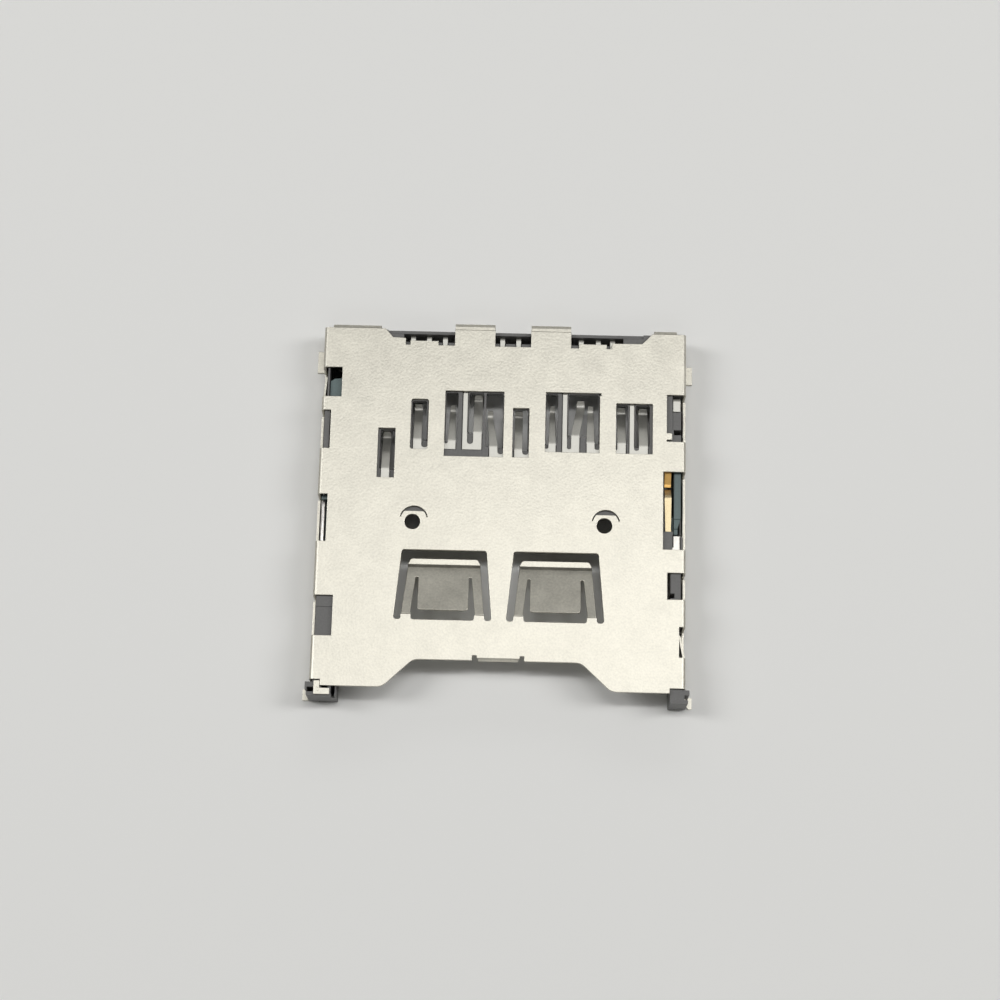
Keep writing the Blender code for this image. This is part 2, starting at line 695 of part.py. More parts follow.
def rear_folds():
    """Strips folded down at the rear: two long tabs between the cuts, a low lip at each bulge."""
    edges = rear_edges()
    folds = []
    for before, after in zip(edges, edges[1:]):
        folds.append((before[-1][0] + 0.01, after[0][0] - 0.01, TAB_REACH, TAB_LIFT))
    folds.append((LEFT + 0.65, edges[0][0][0] - 0.15, 0.0, 0.6))
    folds.append((edges[-1][-1][0] - 0.05, RIGHT - 0.7, 0.0, 0.6))
    strips = []
    start_y = REAR - 0.75
    for x0, x1, reach, lift in folds:
        out = REAR + reach - start_y - FOLD_RADIUS - SPRING_SHEET / 2
        moves = [("line", out), ("arc", FOLD_RADIUS, -90), ("line", SHEET_MID - FOLD_RADIUS - lift)]
        start = ((x0 + x1) / 2, start_y, SHEET_MID)
        strips.append(bent_strip(start, moves, (0, 1, 0), (0, 0, 1), x1 - x0, SPRING_SHEET))
    return strips


def cover_shell():
    inner_radius = max(BEND_RADIUS - SHEET, 0.0)
    section = rounded([
        (LEFT, WALL_LIFT), (LEFT, TOP, BEND_RADIUS), (RIGHT, TOP, BEND_RADIUS), (RIGHT, WALL_LIFT),
        (RIGHT - SHEET, WALL_LIFT), (RIGHT - SHEET, SHEET_BOTTOM, inner_radius),
        (LEFT + SHEET, SHEET_BOTTOM, inner_radius), (LEFT + SHEET, WALL_LIFT),
    ])
    blank = prism(section, FRONT - OVERSHOOT, REAR - BEND_RADIUS, "Y")
    shell = add_part("cover_shell", blank, STEEL)

    low = TOP - WINDOW_DEPTH
    openings = [rounded(leaf_window(side * LEAF_CENTRE)) for side in (-1, 1)]
    for centre in LANCE_CENTRES:
        openings.append(lance(centre))
        openings.append(circle(centre - 0.1, LANCE_Y - 0.15, LANCE_HOLE))
    openings += [contact_window(*row) for row in CONTACT_WINDOWS]
    openings += [side_window(index) for index in range(len(SIDE_WINDOWS))]
    for edge in rear_edges():
        openings.append(edge + [(edge[-1][0], REAR + OVERSHOOT), (edge[0][0], REAR + OVERSHOOT)])
    cuts = [prism(outline, low, ABOVE) for outline in openings]
    cuts.append(prism(rounded(finger_cut()), -OVERSHOOT, ABOVE))
    combine(shell, cuts, "DIFFERENCE")

    slits = []
    for index, (side, _, front, rear) in enumerate(SIDE_WINDOWS):
        start = front - 0.1 if index in SIDE_TONGUES else rear + 0.35
        inner = side * (RIGHT - SHEET - SHEET_FIT)
        outline = rectangle(inner, REAR - start, side * (RIGHT + OVERSHOOT), REAR - rear - 0.02)
        slits.append(prism(outline, SLIT_BOTTOM, low + 0.1))
    combine(shell, slits, "DIFFERENCE")

    fixed = [hold_down_leaf(side * LEAF_CENTRE) for side in (-1, 1)] + rear_folds()
    lip = [("line", 0.1), ("arc", FOOT_BEND, -80), ("line", 0.35)]
    lip_start = (0.03, FRONT + FINGER_DEPTH + 0.43, SHEET_MID)
    fixed.append(bent_strip(lip_start, lip, (0, -1, 0), (0, 0, 1), 2.9, SPRING_SHEET))
    wall_mid = RIGHT - SHEET / 2
    for index, bend in SIDE_TONGUES.items():
        side, _, front, rear = SIDE_WINDOWS[index]
        start = (side * wall_mid, REAR - front - 0.15, (SLIT_BOTTOM + low) / 2)
        moves = [("line", 0.3), ("arc", 0.8, -bend), ("line", front - rear - 0.75)]
        height = low - SLIT_BOTTOM - 0.2
        fixed.append(bent_strip(start, moves, (0, 1, 0), (side, 0, 0), height, SPRING_SHEET))
    for side, inset, width in SOLDER_FEET:
        overlap = 0.5
        start = (side * wall_mid, REAR - inset, WALL_LIFT + overlap)
        drop = WALL_LIFT + overlap - FOOT_BEND - SPRING_SHEET / 2
        reach = FOOT_REACH + SHEET / 2 - FOOT_BEND
        moves = [("line", drop), ("arc", FOOT_BEND, 90), ("line", reach)]
        fixed.append(bent_strip(start, moves, (0, 0, -1), (side, 0, 0), width, SPRING_SHEET))
    combine(shell, fixed, "UNION")


# Housing


def tail_pockets():
    """Pockets behind the card stop that the tails drop through, in three groups."""
    groups = [
        ("contact_9", 0.7, "contact_3_detect", 0.7),
        ("contact_3", 0.9, "contact_5", 0.45),
        ("contact_6_detect", 0.45, "contact_8", 0.8),
    ]
    return [(TAILS[first] - left, TAILS[last] + right) for first, left, last, right in groups]


def housing_blank():
    ear = HOUSING_RIGHT + EAR_REACH
    ear_rear = FRONT + 0.3
    ear_front = ear - EAR_STEP
    outline = [
        (-ear_front, HOUSING_FRONT, 0.1), (ear_front, HOUSING_FRONT, 0.1), (ear_front, CLIP_Y), (ear, CLIP_Y),
        (ear, ear_rear), (HOUSING_RIGHT, ear_rear), (HOUSING_RIGHT, HOUSING_REAR, 0.2),
        (HOUSING_LEFT, HOUSING_REAR, 0.2), (HOUSING_LEFT, ear_rear), (-ear, ear_rear), (-ear, CLIP_Y),
        (-ear_front, CLIP_Y),
    ]
    return prism(rounded(outline), 0.0, PLATE_TOP)


def left_rail_cuts():
    """Channel for the slider, its guide step, and the seat of the cam pin."""
    outside = HOUSING_LEFT - OVERSHOOT
    front = CAM_BLOCK_FRONT - 0.2
    inner = SLIDER_IN + SLIDER_CLEARANCE
    guide = HOUSING_LEFT + GUIDE_WIDTH
    rib = HOUSING_LEFT + 0.26
    channel = [
        (outside, front), (inner, front), (inner, SPRING_SEAT), (rib, SPRING_SEAT), (rib, GUIDE_REAR),
        (guide, GUIDE_REAR), (guide, GUIDE_FRONT), (outside, GUIDE_FRONT),
    ]
    tongue_relief = rectangle(outside, GUIDE_REAR + 0.2, HOUSING_LEFT + 0.13, SPRING_SEAT - 1.5)
    mark = rectangle(outside, REAR - 23.9, SLOT_LEFT - 0.1, REAR - 21.65)
    return [
        prism(channel, RAIL_FLOOR, ABOVE),
        prism(tongue_relief, SLIT_BOTTOM - 0.15, ABOVE),
        prism(mark, PLATE_TOP - 0.06, ABOVE),
    ]


def right_rail_cuts():
    """Pockets for the lever, the side tongue and the switch terminals."""
    outside = HOUSING_RIGHT + OVERSHOOT
    lever_in = LEVER_X - LEVER_WIDTH / 2 - 0.05
    relief = HOUSING_RIGHT - 0.1
    tongue = SIDE_WINDOWS[7]
    detect_half = DETECT_WIDTH / 2 + CONTACT_PLAY
    cuts = [
        prism(rectangle(lever_in, LEVER_FRONT - 0.2, outside, LEVER_Y + 0.55), RAIL_FLOOR, ABOVE),
        prism(
            rectangle(HOUSING_RIGHT - 0.4, REAR - tongue[2], outside, REAR - tongue[3] + 0.1),
            SLIT_BOTTOM - 0.15, ABOVE,
        ),
        prism(rectangle(SWITCH_X - detect_half, REAR - 6.25, outside, REAR - 4.95), -OVERSHOOT, ABOVE),
        prism(rectangle(relief, REAR - 8.65, outside, REAR - 6.3), SLIT_BOTTOM, ABOVE),
        prism(rectangle(relief, REAR - 20.8, outside, REAR - 18.5), SLIT_BOTTOM, ABOVE),
        prism(rectangle(SLOT_RIGHT - 0.1, REAR - 20.45, SLOT_RIGHT + 0.3, REAR - 20.1), -OVERSHOOT, ABOVE),
    ]
    return cuts


def wire_seats():
    """Slots in the right rail for the two gold-plated strips: open seats, their link, then tunnels."""
    half = SWITCH_WIDTH / 2 + CONTACT_PLAY
    left = SWITCH_X - half
    right = SWITCH_X + half
    low = BEAM_MID - STRIP_ROOM
    high = BEAM_MID + STRIP_ROOM
    foot_top = CONTACT_SHEET + CONTACT_PLAY
    hook_leg = HOOK_FRONT - 0.3
    seats = [
        prism(rectangle(left, HOOK_FRONT - 0.05, right, LEVER_FRONT - 0.1), low, ABOVE),
        prism(rectangle(left, hook_leg - 0.2, right, hook_leg + 0.15), -OVERSHOOT, high),
        prism(rectangle(left, TERMINAL_LEG - 0.2, right, TERMINAL_LEG + 0.2), -OVERSHOOT, high),
    ]
    link = prism(rectangle(left + 0.02, hook_leg, right - 0.02, HOOK_FRONT + 0.1), low - 0.01, high - 0.01)
    tunnels = [
        prism(rectangle(BEAM_X - half, HOOK_FRONT - 0.04, SWITCH_X, LEVER_FRONT + 0.2), low + 0.01, high),
        prism(rectangle(BEAM_X - half, LEVER_Y + 0.5, right - 0.01, TERMINAL_LEG), low, high - 0.01),
        prism(rectangle(left + 0.01, hook_leg - 0.95, right - 0.01, hook_leg), -OVERSHOOT, foot_top),
        prism(rectangle(left + 0.01, TERMINAL_LEG, right - 0.01, TERMINAL_LEG + 0.9), -OVERSHOOT, foot_top),
    ]
    return seats, link, tunnels


def housing():
    body = add_part("housing", housing_blank(), BLACK_PLASTIC)
    card_space = [
        (HOUSING_FRONT - OVERSHOOT, -OVERSHOOT), (CARD_STOP, -OVERSHOOT), (CARD_STOP, PLATE_BOTTOM),
        (PLATE_FRONT, PLATE_BOTTOM), (PLATE_FRONT, ABOVE), (HOUSING_FRONT - OVERSHOOT, ABOVE),
    ]
    combine(body, [prism(card_space, SLOT_LEFT, SLOT_RIGHT, "X")], "DIFFERENCE")

    pockets = tail_pockets()
    cuts = [
        prism(rectangle(first, POCKET_FRONT, last, POCKET_REAR), -OVERSHOOT, ABOVE)
        for first, last in pockets
    ]
    combine(body, cuts + left_rail_cuts() + right_rail_cuts(), "DIFFERENCE")

    grooves = [prism(contact.outline(CONTACT_PLAY, False), GROOVE_FLOOR, ABOVE) for contact in CONTACTS]
    nose_way = rectangle(SLIDER_IN, CAM_BLOCK_FRONT - 0.2, SLOT_LEFT + 0.03, CARD_STOP)
    grooves.append(prism(nose_way, 0.6, ABOVE))
    pin_way = rectangle(
        HOUSING_LEFT - OVERSHOOT, PIN_ANCHOR_Y - 0.35, SLIDER_IN - 0.15, CAM_BLOCK_FRONT - 0.1
    )
    grooves.append(prism(pin_way, CAM_TOP, ABOVE))
    left_end = pockets[0][0]
    right_end = pockets[-1][1]
    feet_way = rectangle(left_end + 0.1, POCKET_REAR - 0.1, right_end - 0.1, HOUSING_REAR + OVERSHOOT)
    grooves.append(prism(feet_way, -OVERSHOOT, CONTACT_SHEET + 0.2))
    ridge = rectangle(left_end - 1.2, POCKET_REAR + 0.02, right_end + 1.5, HOUSING_REAR + OVERSHOOT)
    grooves.append(prism(ridge, PLATE_TOP - 0.2, ABOVE))
    outside = HOUSING_RIGHT + OVERSHOOT
    detect_left = SWITCH_X - DETECT_WIDTH / 2 - CONTACT_PLAY
    detect_foot = rectangle(detect_left, REAR - 5.2, outside, REAR - 3.8)
    grooves.append(prism(detect_foot, -OVERSHOOT, CONTACT_SHEET + 0.1))
    lead_in = rectangle(SLOT_LEFT - 0.33, HOUSING_FRONT - OVERSHOOT, SLOT_LEFT - 0.1, FRONT - 0.5)
    grooves.append(prism(lead_in, PLATE_TOP - 0.8, ABOVE))
    step = rectangle(SWITCH_X - 0.33, REAR - 7.65, outside, REAR - 6.2)
    grooves.append(prism(step, PLATE_TOP - 0.12, ABOVE))
    combine(body, grooves, "DIFFERENCE")

    seats, link, tunnels = wire_seats()
    bores = [prism(circle(PIN_X, PIN_ANCHOR_Y, CAM_LANE, 12), 0.6, CAM_TOP + 0.1)]
    for centre in LANCE_CENTRES:
        hole = circle(centre - 0.1, LANCE_Y - 0.15, LANCE_HOLE + 0.1)
        bores.append(prism(hole, PLATE_BOTTOM - 0.1, ABOVE))
    bores += [prism(contact.window(), PLATE_BOTTOM - 0.1, ABOVE) for contact in CONTACTS[::2]]
    near = CLIP_Y - CLIP_SLOT / 2
    far = CLIP_Y + CLIP_SLOT / 2
    slot = rectangle(LEFT_CLIP_LEG + 0.1, near, HOUSING_LEFT - 0.4, far)
    bores.append(prism(slot, -OVERSHOOT, ABOVE))
    notch = rectangle(RIGHT_CLIP_LEG - 0.1, near, HOUSING_RIGHT + EAR_REACH + OVERSHOOT, far)
    bores.append(prism(notch, -OVERSHOOT, ABOVE))
    scoop = rectangle(SLOT_LEFT - 0.37, FRONT - 0.62, SLOT_LEFT - 0.06, FRONT + 0.1, 0.15)
    bores.append(prism(scoop, PLATE_BOTTOM - 1.7, ABOVE))
    hole = rectangle(SWITCH_X - 0.23, REAR - 8.07, HOUSING_RIGHT - 0.05, REAR - 7.65)
    bores.append(prism(hole, 0.9, ABOVE))
    relief = rectangle(HOUSING_LEFT + 0.64, FRONT - 0.14, HOUSING_LEFT + 1.1, FRONT + 0.3)
    bores.append(prism(relief, PLATE_BOTTOM - 1.2, ABOVE))
    combine(body, bores + seats, "DIFFERENCE")

    others = [prism(contact.window(), PLATE_BOTTOM - 0.1, ABOVE) for contact in CONTACTS[1::2]]
    beam_space = rectangle(
        BEAM_X - 0.32, LEVER_FRONT + 0.15, LEVER_X - LEVER_WIDTH / 2, LEVER_Y + 0.5, 0.05
    )
    others += [prism(beam_space, 0.9, ABOVE), link]
    combine(body, others, "DIFFERENCE")
    for side in (-1, 1):
        under = rectangle(
            side * (HOUSING_RIGHT - CLIP_INSET - 0.2), HOUSING_FRONT - OVERSHOOT,
            side * (HOUSING_RIGHT + EAR_REACH + OVERSHOOT), CLIP_Y + CLIP_FOOT / 2 + CONTACT_PLAY,
        )
        tunnels.append(prism(under, -OVERSHOOT, CONTACT_SHEET + CONTACT_PLAY))
    combine(body, tunnels, "DIFFERENCE")
    post = prism(circle(LEVER_X, LEVER_Y, LEVER_POST, 12), RAIL_FLOOR - 0.05, SLIDER_TOP)
    combine(body, [post], "UNION")


# Eject mechanism


def heart_groove():
    """Loop track of the eject cam, in one opening: way in on the right, way back on the left."""
    right = CAM_PIN_SWING + CAM_LANE
    corners = [
        (-0.5, CAM_LANE), (CAM_LANE, CAM_LANE), (right, 0.1 - SLIDER_TRAVEL),
        (right, -SLIDER_TRAVEL - CAM_LANE, 0.2), (-0.5, -SLIDER_TRAVEL - CAM_LANE),
    ]
    return [(PIN_X + x, PIN_TIP_Y + y, *rest) for x, y, *rest in corners]


def heart_island():
    """Heart-shaped rise that parts the two ways: point to the rear, notch to the front."""
    lean = CAM_PIN_SWING / SLIDER_TRAVEL
    left = CAM_LANE + 0.01
    front = -0.8 * SLIDER_TRAVEL
    right = -lean * front - CAM_LANE * 1.04
    point = -(left + CAM_LANE * 1.04) / lean
    corners = [(left, point), (left, front + 0.1), ((left + right) / 2 - 0.02, front + 0.3), (right, front)]
    return [(PIN_X + x, PIN_TIP_Y + y) for x, y in corners]


def eject_slider():
    """Cam block in front, bar over the spring, head behind the guide step, nose for the card's corner."""
    bar_left = HOUSING_LEFT + GUIDE_WIDTH + SLIDER_CLEARANCE
    head_left = HOUSING_LEFT + 0.26 + SLIDER_CLEARANCE
    cam_left = HOUSING_LEFT + 0.02
    bar_right = SLIDER_IN - 0.01
    plan = [
        (cam_left, CAM_BLOCK_FRONT, 0.1), (SLIDER_IN, CAM_BLOCK_FRONT, 0.1), (SLIDER_IN, SPRING_START),
        (bar_left, SPRING_START), (bar_left, CAM_BLOCK_REAR), (cam_left, CAM_BLOCK_REAR, 0.1),
    ]
    slider = add_part("eject_slider", prism(rounded(plan), SLIDER_BOTTOM, CAM_TOP), TEAL_PLASTIC)
    bar = [
        (bar_left, CAM_BLOCK_REAR - 0.3), (bar_right, CAM_BLOCK_REAR - 0.3), (bar_right, HEAD_REAR + 0.1),
        (head_left + 0.3, HEAD_REAR), (head_left, HEAD_REAR - 0.2), (head_left, HEAD_FRONT),
        (bar_left, HEAD_FRONT),
    ]
    combine(slider, [prism(bar, BAR_BOTTOM, SLIDER_TOP)], "UNION")
    root = SLIDER_IN - SPRING_PLAY * 0.6
    tip = SLIDER_IN + NOSE_REACH
    front = HEAD_FRONT - 3.0
    slope_end = front + NOSE_REACH
    rear = slope_end + 1.5
    nose = [
        (root, front - (SLIDER_IN - root)), (tip, slope_end), (tip, rear, 0.2), (root, rear),
    ]
    combine(slider, [prism(rounded(nose), 0.75, PLATE_BOTTOM - 0.06)], "UNION")
    combine(slider, [prism(rounded(heart_groove()), CAM_TOP - CAM_DEPTH, TOP)], "DIFFERENCE")
    island = prism(heart_island(), CAM_TOP - CAM_DEPTH - 0.05, CAM_TOP - 0.02)
    combine(slider, [island], "UNION")


def eject_spring():
    """Coil spring with closed ends between the slider and the housing's rear seat."""
    start = SPRING_START + 0.02
    length = SPRING_SEAT - 0.02 - start
    coil_radius = SPRING_RADIUS - SPRING_WIRE
    steps_per_turn = 12
    closed_turns = 1.5
    closed_pitch = 2.1 * SPRING_WIRE
    closed_length = closed_turns * closed_pitch
    open_length = length - 2 * SPRING_WIRE - 2 * closed_length
    open_turns = SPRING_TURNS - 2 * closed_turns
    points = []
    for step in range(SPRING_TURNS * steps_per_turn + 1):
        turn = step / steps_per_turn
        if turn < closed_turns:
            along = turn * closed_pitch
        elif turn > SPRING_TURNS - closed_turns:
            along = length - 2 * SPRING_WIRE - (SPRING_TURNS - turn) * closed_pitch
        else:
            along = closed_length + (turn - closed_turns) / open_turns * open_length
        angle = 2 * math.pi * turn
        points.append(Vector((
            SPRING_X + coil_radius * math.cos(angle),
            start + SPRING_WIRE + along,
            SPRING_Z + coil_radius * math.sin(angle),
        )))
    add_part("eject_spring", tube(points, SPRING_WIRE, 6), SPRING_STEEL, round_piece=True)


def cam_pin():
    """Bent wire: a leg in the housing's bore, a straight run under the cover, a leg in the groove."""
    bend = CAM_PIN_BEND
    points = [Vector((PIN_X, PIN_ANCHOR_Y, 0.75)), Vector((PIN_X, PIN_ANCHOR_Y, PIN_Z - bend))]
    for step in range(1, ARC_STEPS + 1):
        angle = math.pi / 2 * step / ARC_STEPS
        run = bend * (1 - math.cos(angle))
        points.append(Vector((PIN_X, PIN_ANCHOR_Y + run, PIN_Z - bend + bend * math.sin(angle))))
    for step in range(ARC_STEPS + 1):
        angle = math.pi / 2 * step / ARC_STEPS
        run = bend * (1 - math.sin(angle))
        points.append(Vector((PIN_X, PIN_TIP_Y - run, PIN_Z - bend + bend * math.cos(angle))))
    points.append(Vector((PIN_X, PIN_TIP_Y, CAM_TOP - CAM_DEPTH + 0.08)))
    wire = tube(points, CAM_PIN_RADIUS, 12)
    add_part("cam_pin", wire, SPRING_STEEL, (PIN_X, PIN_ANCHOR_Y, PIN_Z), round_piece=True)


# Switches


def detect_lever():
    """Lever on the rail's post, with a tapered front and a nose that stands in the card's way."""
    inner = LEVER_X - LEVER_WIDTH / 2 + 0.03
    outer = inner + LEVER_WIDTH
    neck = inner + 0.58 * LEVER_WIDTH
    rear = LEVER_Y + 0.3
    taper = LEVER_FRONT + 1.15
    plan = [
        (inner, LEVER_FRONT, 0.1), (neck, LEVER_FRONT, 0.1), (neck, LEVER_FRONT + 0.5), (outer, taper),
        (outer, rear, 0.2), (inner, rear, 0.2),
    ]
    blank = prism(rounded(plan), SLIDER_BOTTOM, SLIDER_TOP)
    lever = add_part("detect_lever", blank, TEAL_PLASTIC, (LEVER_X, LEVER_Y, 0.0))
    nose_tip = SLOT_RIGHT - 0.15
    nose = [
        (inner + 0.1, LEVER_FRONT + 0.3), (inner + 0.1, LEVER_FRONT + 1.5), (inner, LEVER_FRONT + 1.5),
        (nose_tip, taper), (nose_tip, taper - 0.4), (inner, LEVER_FRONT + 0.3),
    ]
    combine(lever, [prism(nose, 1.0, CARD_THICKNESS - 0.3)], "UNION")
    bore = prism(circle(LEVER_X, LEVER_Y, LEVER_POST + SLIDER_CLEARANCE, 12), 0.0, TOP)
    combine(lever, [bore], "DIFFERENCE")
    steps = [
        (LEVER_FRONT - 0.1, TOP), (LEVER_FRONT - 0.1, SLIDER_TOP - 0.28),
        (LEVER_FRONT + 0.45, SLIDER_TOP - 0.25), (LEVER_FRONT + 0.45, SLIDER_TOP - 0.17),
        (taper, SLIDER_TOP - 0.07), (taper, TOP),
    ]
    combine(lever, [prism(steps, inner - 0.1, outer + 0.1, "X")], "DIFFERENCE")


def write_protect_spring():
    """Gold beam over the card's edge, a bridge under the plastic bar, and a leg to the board."""
    half = SWITCH_WIDTH / 2
    hook_in = SWITCH_X - half + 0.03
    corners = [
        (BEAM_X - half + 0.1, HOOK_FRONT, 0.1), (SWITCH_X + half, HOOK_FRONT),
        (SWITCH_X + half, LEVER_FRONT - 0.15), (hook_in, LEVER_FRONT - 0.15),
        (hook_in, HOOK_FRONT + 0.5), (BEAM_X + half - 0.04, HOOK_FRONT + 0.5),
        (BEAM_X + half + 0.02, BEAM_END), (BEAM_X - half, BEAM_END),
    ]
    low = BEAM_MID - CONTACT_SHEET / 2
    blank = prism(rounded(corners), low, low + CONTACT_SHEET)
    end = side_face(blank, (BEAM_X, BEAM_END, BEAM_MID))
    tip = [("arc", 0.3, -35), ("line", 0.65)]
    grow(blank, end, tip, (0, 1, 0), (0, 0, 1), 2 * half, CONTACT_SHEET)
    beam = add_part("write_protect_spring", blank, GOLD)
    fall = BEAM_MID - 2 * TAIL_BEND - CONTACT_SHEET / 2
    leg = [("line", 0.2), ("arc", TAIL_BEND, -90), ("line", fall), ("arc", TAIL_BEND, 90), ("line", 0.4)]
    start = (SWITCH_X, HOOK_FRONT + 0.1, BEAM_MID)
    strip = bent_strip(start, leg, (0, -1, 0), (0, 0, 1), SWITCH_WIDTH - 0.04, CONTACT_SHEET - 0.01)
    combine(beam, [strip], "UNION")


def write_protect_terminal():
    """Fixed strip behind the beam: foot on the board, leg in the rail, jog across, drooping end."""
    rise = BEAM_MID - 2 * TAIL_BEND - CONTACT_SHEET / 2
    jog = TERMINAL_LEG - TAIL_BEND - (LEVER_Y + 0.2)
    moves = [
        ("line", 0.5), ("arc", TAIL_BEND, 90), ("line", rise), ("arc", TAIL_BEND, -90),
        ("line", jog, SWITCH_WIDTH, SWITCH_X - BEAM_X), ("line", 0.78), ("arc", 0.3, -25), ("line", 0.75),
        ("arc", FOLD_RADIUS, 25), ("line", 0.2),
    ]
    start = (SWITCH_X, TERMINAL_LEG + TAIL_BEND + 0.5, CONTACT_SHEET / 2)
    strip = bent_strip(start, moves, (0, -1, 0), (0, 0, 1), SWITCH_WIDTH, CONTACT_SHEET)
    add_part("write_protect_terminal", strip, GOLD)


def card_detect_terminal():
    """Short strip in the rail's rear pocket with its foot on the board."""
    fall = BEAM_MID - 2 * TAIL_BEND - CONTACT_SHEET / 2
    moves = [("line", 0.8), ("arc", TAIL_BEND, -90), ("line", fall), ("arc", TAIL_BEND, 90), ("line", 0.9)]
    start = (SWITCH_X, REAR - 6.2, BEAM_MID)
    strip = bent_strip(start, moves, (0, 1, 0), (0, 0, 1), DETECT_WIDTH, CONTACT_SHEET)
    add_part("card_detect_terminal", strip, CONTACT_METAL)


# Solder clips


def clip_leg(leg, top, barb):
    """Strip down the slot and out on the board as a foot; with a barb it first goes over the slot's edge."""
    side = math.copysign(1, leg)
    bend = FOOT_BEND
    reach = RIGHT + FOOT_REACH - abs(leg) - bend
    foot = [("arc", bend, 90), ("line", 0.2, CLIP_FOOT), ("line", reach - 0.2)]
    if not barb:
        moves = [("line", top - bend - CONTACT_SHEET / 2)] + foot
        start = (leg, CLIP_Y, top)
        return bent_strip(start, moves, (side, 0, 0), (0, 0, 1), CLIP_STRIP, CONTACT_SHEET, -math.pi / 2)
    moves = [("line", barb), ("arc", bend, -90), ("line", top - 2 * bend - CONTACT_SHEET / 2)] + foot
    start = (leg - side * (bend + barb), CLIP_Y, top)
    return bent_strip(start, moves, (side, 0, 0), (0, 0, 1), CLIP_STRIP, CONTACT_SHEET)


def solder_clips():
    top = PLATE_TOP + 0.03 + CONTACT_SHEET / 2
    clip = add_part("solder_clip_left", clip_leg(LEFT_CLIP_LEG, top, 0.1), STEEL)
    edge = HOUSING_LEFT + CLIP_INSET
    arm = edge + CLIP_ARM
    end = edge + CLIP_PLATE
    plate = rounded([
        (edge, FRONT - 0.62, 0.05), (end, FRONT - 0.62, 0.05), (end, FRONT - 0.16, 0.05),
        (arm, FRONT - 0.16), (arm, FRONT + 0.38, 0.05), (edge, FRONT + 0.38, 0.05),
    ])
    combine(clip, [prism(plate, top - 0.07, top + 0.07)], "UNION")
    add_part("solder_clip_right", clip_leg(RIGHT_CLIP_LEG, 1.3, 0.0), STEEL)


def main():
    for item in list(bpy.data.objects):
        bpy.data.objects.remove(item, do_unlink=True)
    cover_shell()
    housing()
    for contact in CONTACTS:
        add_part(contact.name, contact.solid(), CONTACT_METAL)
    write_protect_spring()
    write_protect_terminal()
    card_detect_terminal()
    detect_lever()
    eject_slider()
    eject_spring()
    cam_pin()
    solder_clips()


main()
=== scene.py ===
import json
import math

import bmesh
import bpy
from mathutils import Matrix, Vector

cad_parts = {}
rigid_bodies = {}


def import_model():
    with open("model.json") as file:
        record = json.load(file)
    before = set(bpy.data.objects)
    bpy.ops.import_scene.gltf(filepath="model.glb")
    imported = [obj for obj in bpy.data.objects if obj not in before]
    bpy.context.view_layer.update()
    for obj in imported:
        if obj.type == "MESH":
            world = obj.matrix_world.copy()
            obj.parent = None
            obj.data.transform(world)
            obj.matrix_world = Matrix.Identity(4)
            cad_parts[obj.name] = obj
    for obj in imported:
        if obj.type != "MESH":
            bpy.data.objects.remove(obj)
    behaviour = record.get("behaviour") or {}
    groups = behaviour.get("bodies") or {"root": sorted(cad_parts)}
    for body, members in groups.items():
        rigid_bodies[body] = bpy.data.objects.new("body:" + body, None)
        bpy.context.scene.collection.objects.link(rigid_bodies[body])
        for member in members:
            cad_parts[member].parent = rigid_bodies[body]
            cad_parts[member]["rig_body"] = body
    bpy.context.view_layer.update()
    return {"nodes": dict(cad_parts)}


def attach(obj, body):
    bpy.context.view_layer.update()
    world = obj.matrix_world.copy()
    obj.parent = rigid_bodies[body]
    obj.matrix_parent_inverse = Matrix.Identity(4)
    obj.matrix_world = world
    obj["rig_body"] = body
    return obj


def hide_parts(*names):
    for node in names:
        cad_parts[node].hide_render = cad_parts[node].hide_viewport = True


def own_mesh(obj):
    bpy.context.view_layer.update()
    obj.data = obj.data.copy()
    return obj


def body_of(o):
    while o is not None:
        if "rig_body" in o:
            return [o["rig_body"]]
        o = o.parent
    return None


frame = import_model()
nodes = frame["nodes"]
mm = 0.001
print("frame loaded:", len(nodes), "nodes")


# Studio: camera at the photo's angle, table, lamps

studio = {
    "tilt": 15.0,  # degrees from straight down, towards the front
    "turn": 1.3616,  # degrees round the upright axis
    "distance": 165.75,  # mm
    "target": (-0.105, 1.106, 0.0),  # mm, where the camera looks before it is turned
    "shift": 0.235,  # mm towards the rear
    "focal": 2215.2,  # thousandths of the picture's width
    "sensor": 36,  # mm
    "nearest": 0.01,  # m, closest thing that the camera sees
    "tableColour": (0.83, 0.828, 0.81),
    "tableRoughness": 0.7,
    "tableSpecular": 0.2,
    "tableSize": 1.2,  # m
    "roomColour": (1.0, 0.995, 0.95),
    "roomStrength": 0.12,
}

# rear and right: degrees from straight up, below zero to the front and the left
# distance and size in m, level is the lamp's share of full light on the table
lamps = {
    "keyLamp": {"rear": 9, "right": 4, "distance": 0.6, "size": (0.38, 0.06), "level": 0.225},
    "leftLamp": {"rear": 9, "right": -42, "distance": 0.5, "size": (0.3, 0.12), "level": 0.305},
    "rightLamp": {"rear": 9, "right": 42, "distance": 0.5, "size": (0.3, 0.12), "level": 0.285},
    "rearLamp": {"rear": 61, "right": 0, "distance": 0.6, "size": (0.5, 0.15), "level": 0.065},
    "frontLamp": {"rear": -42, "right": 0, "distance": 0.6, "size": (0.5, 0.2), "level": 0.06},
}


